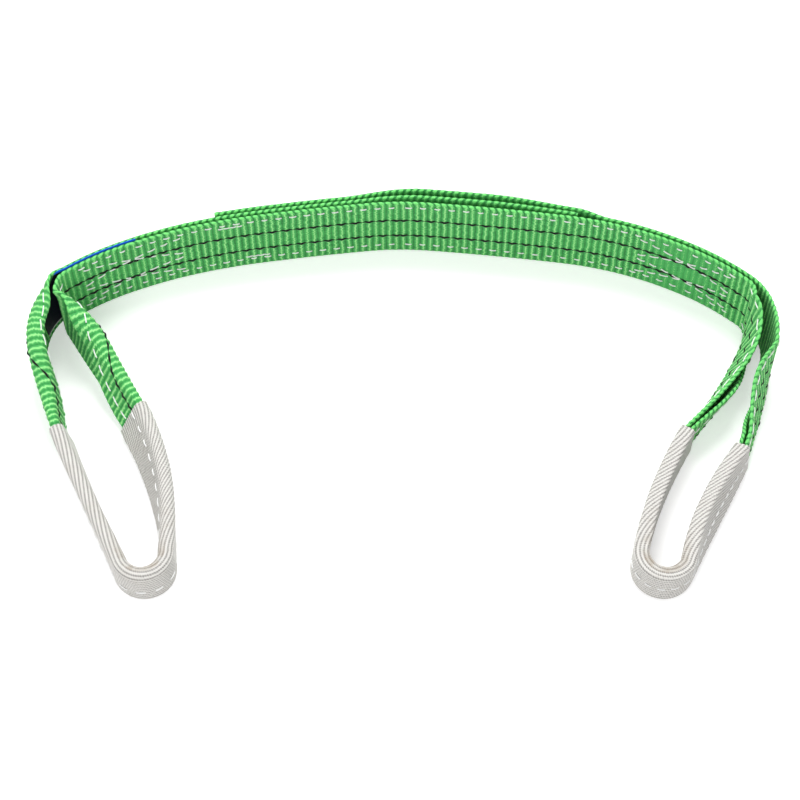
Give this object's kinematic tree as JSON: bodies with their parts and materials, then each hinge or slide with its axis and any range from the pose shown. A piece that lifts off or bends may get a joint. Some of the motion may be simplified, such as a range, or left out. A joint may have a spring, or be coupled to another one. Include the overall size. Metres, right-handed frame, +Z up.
{
  "type": "flat web sling",
  "caption": "Flat sewn web sling with a folded, sleeved eye at each end, standing on its edge as a shallow arch. It lifts loads from a hook.",
  "frame": {"origin": "on the surface the sling stands on, under the middle of its front ply", "axes": "+X along the sling, +Y away from the eyes, +Z up across the width of the web"},
  "size_m": [0.5206, 0.2966, 0.0608],
  "materials": {
    "web": "coarse ribbed weave",
    "thread": "twisted sewing thread",
    "tracer": "woven yarn",
    "sleeve": "twill weave",
    "label": "smooth woven tape"
  },
  "bodies": {
    "mid_body": {"front_ply_middle": "web", "left_tail_middle": "web", "right_tail_middle": "web", "upper_edge_seam": "thread", "lower_edge_seam": "thread", "upper_tracer": "tracer", "lower_tracer": "tracer", "lap_end_tacks": "thread"},
    "left_block": {"left_front_ply": "web", "left_back_ply": "web", "left_w_seam": "thread", "left_edge_seams": "thread", "left_tracers": "tracer", "id_label": "label"},
    "left_eye": {"left_inner_leg": "web", "left_outer_leg": "web", "left_eye_crown": "web", "left_wear_sleeve": "sleeve", "left_sleeve_seam": "thread", "left_leg_seams": "thread", "left_leg_tracers": "tracer"},
    "right_block": {"right_front_ply": "web", "right_back_ply": "web", "right_w_seam": "thread", "right_edge_seams": "thread", "right_tracers": "tracer"},
    "right_eye": {"right_inner_leg": "web", "right_outer_leg": "web", "right_eye_crown": "web", "right_wear_sleeve": "sleeve", "right_sleeve_seam": "thread", "right_leg_seams": "thread", "right_leg_tracers": "tracer"}
  },
  "joints": [
    {"name": "left_bend", "type": "hinge", "parent": "mid_body", "child": "left_block", "pos_m": [-0.14872, -0.01955, 0.03], "axis": [0, 0, 1], "range_deg": [-16, 10]},
    {"name": "left_eye_swing", "type": "hinge", "parent": "left_block", "child": "left_eye", "pos_m": [-0.23073, -0.05465, 0.03], "axis": [0, 0, 1], "range_deg": [-75, 25]},
    {"name": "right_bend", "type": "hinge", "parent": "mid_body", "child": "right_block", "pos_m": [0.16369, -0.0204, 0.03], "axis": [0, 0, -1], "range_deg": [-16, 10]},
    {"name": "right_eye_swing", "type": "hinge", "parent": "right_block", "child": "right_eye", "pos_m": [0.23972, -0.06101, 0.03], "axis": [0, 0, -1], "range_deg": [-70, 25]}
  ]
}
